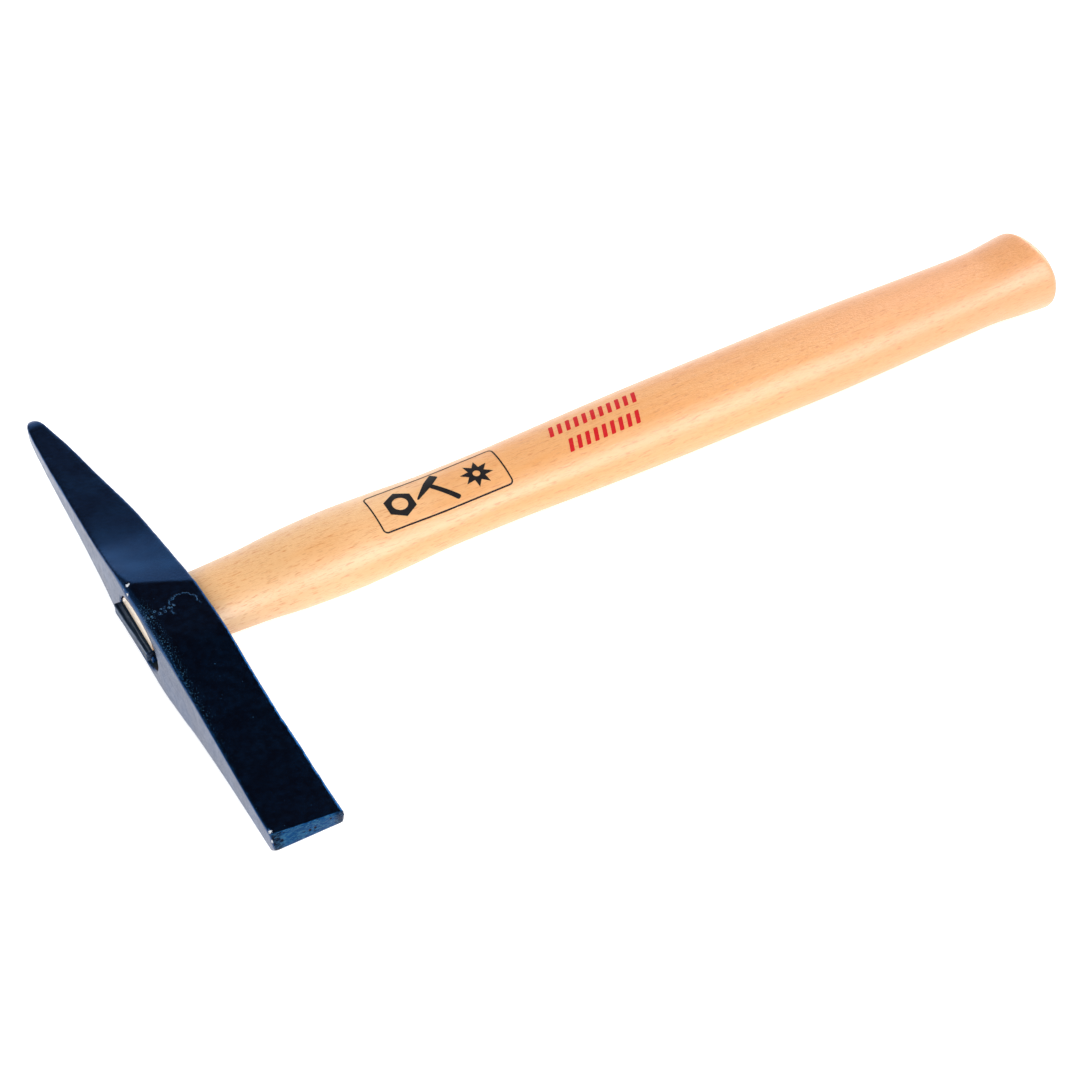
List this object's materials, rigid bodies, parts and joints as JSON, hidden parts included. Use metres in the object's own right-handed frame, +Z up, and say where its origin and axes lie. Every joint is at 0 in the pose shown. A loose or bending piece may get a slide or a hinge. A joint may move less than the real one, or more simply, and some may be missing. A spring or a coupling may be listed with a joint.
{
  "type": "chipping hammer",
  "caption": "Welder's chipping hammer lying on its side: forged head with a blunt pick and a chisel edge parallel to the oval wooden handle, held by a flat steel wedge.",
  "frame": {"origin": "centre of the bounding box in plan, on the surface the hammer lies on", "axes": "+X along the handle from the head to the butt; +Y along the head towards the pick, the chisel edge faces -Y; +Z up, the normal of the head's cheeks"},
  "size_m": [0.2985, 0.1706, 0.0232],
  "materials": {
    "head_paint": "dark navy dip paint, semi-gloss, over a forged surface, with small chips",
    "handle_wood": "beech with short flecks along the grain, light varnish",
    "wedge_steel": "dark rough-rolled steel"
  },
  "bodies": {
    "root": {"head": "head_paint", "handle": "handle_wood", "wedge": "wedge_steel"}
  },
  "joints": []
}
